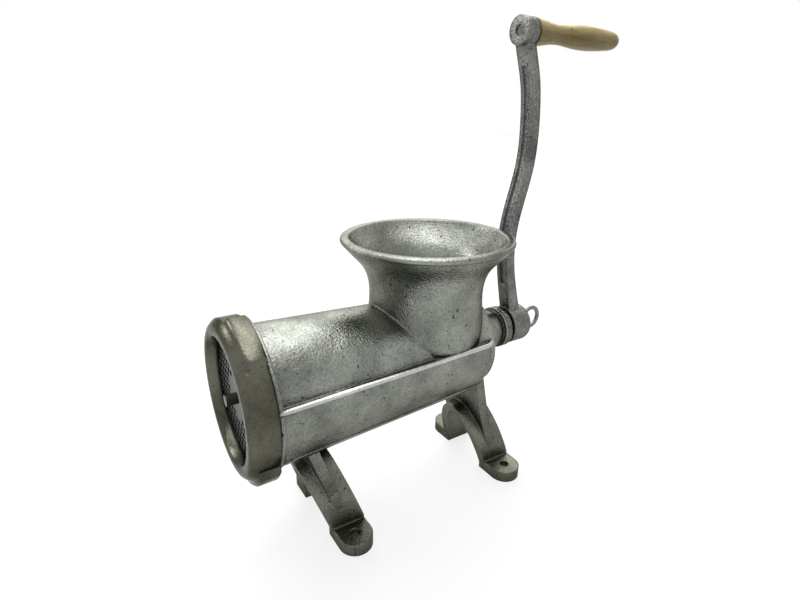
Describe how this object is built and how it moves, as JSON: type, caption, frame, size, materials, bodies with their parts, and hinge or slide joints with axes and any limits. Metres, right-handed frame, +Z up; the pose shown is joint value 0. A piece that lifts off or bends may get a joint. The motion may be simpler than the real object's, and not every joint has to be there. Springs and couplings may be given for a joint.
{
  "type": "hand meat grinder",
  "caption": "Tinned cast iron hand meat grinder on four bolt-down feet, with trumpet hopper, ring nut, perforated plate and a bent crank with a wooden grip.",
  "frame": {"origin": "centre of the four foot bolt holes on the bench plane", "axes": "+Z up, the front with the ring nut faces -Y, the barrel axis is parallel to Y"},
  "size_m": [0.14, 0.3712, 0.3949],
  "materials": {
    "tinned_iron": "satin",
    "ring_iron": "satin",
    "plate_steel": "satin",
    "plain_steel": "satin",
    "worm_iron": "satin",
    "fibre": "matte",
    "bronze": "satin",
    "arm_iron": "satin",
    "grip_wood": "satin"
  },
  "bodies": {
    "body": {"body_casting": "tinned_iron", "plate_key": "plain_steel", "rear_bush": "bronze", "grinder_plate": "plate_steel"},
    "drive": {"worm": "worm_iron", "worm_stud": "plain_steel", "knife": "plate_steel", "thrust_washer": "fibre", "shaft_collar": "plain_steel", "crank_arm": "arm_iron", "handle_pin": "plain_steel", "grip_washer": "plain_steel"},
    "grip": {"wood_grip": "grip_wood"},
    "ring": {"ring_nut": "ring_iron"},
    "eye": {"eye_screw": "plain_steel", "eye_washer": "plain_steel"}
  },
  "joints": [
    {"name": "crank_turn", "type": "hinge", "parent": "body", "child": "drive", "pos_m": [0, 0.1, 0.133], "axis": [0, 1, 0], "continuous": true},
    {"name": "grip_spin", "type": "hinge", "parent": "drive", "child": "grip", "pos_m": [0, 0.15, 0.384], "axis": [0, 1, 0], "continuous": true},
    {"name": "ring_screw", "type": "hinge", "parent": "body", "child": "ring", "pos_m": [0, -0.14, 0.133], "axis": [0, 1, 0], "range_deg": [0, 900]},
    {"name": "eye_turn", "type": "hinge", "parent": "drive", "child": "eye", "pos_m": [0, 0.14, 0.133], "axis": [0, 1, 0], "range_deg": [0, 1800]}
  ]
}
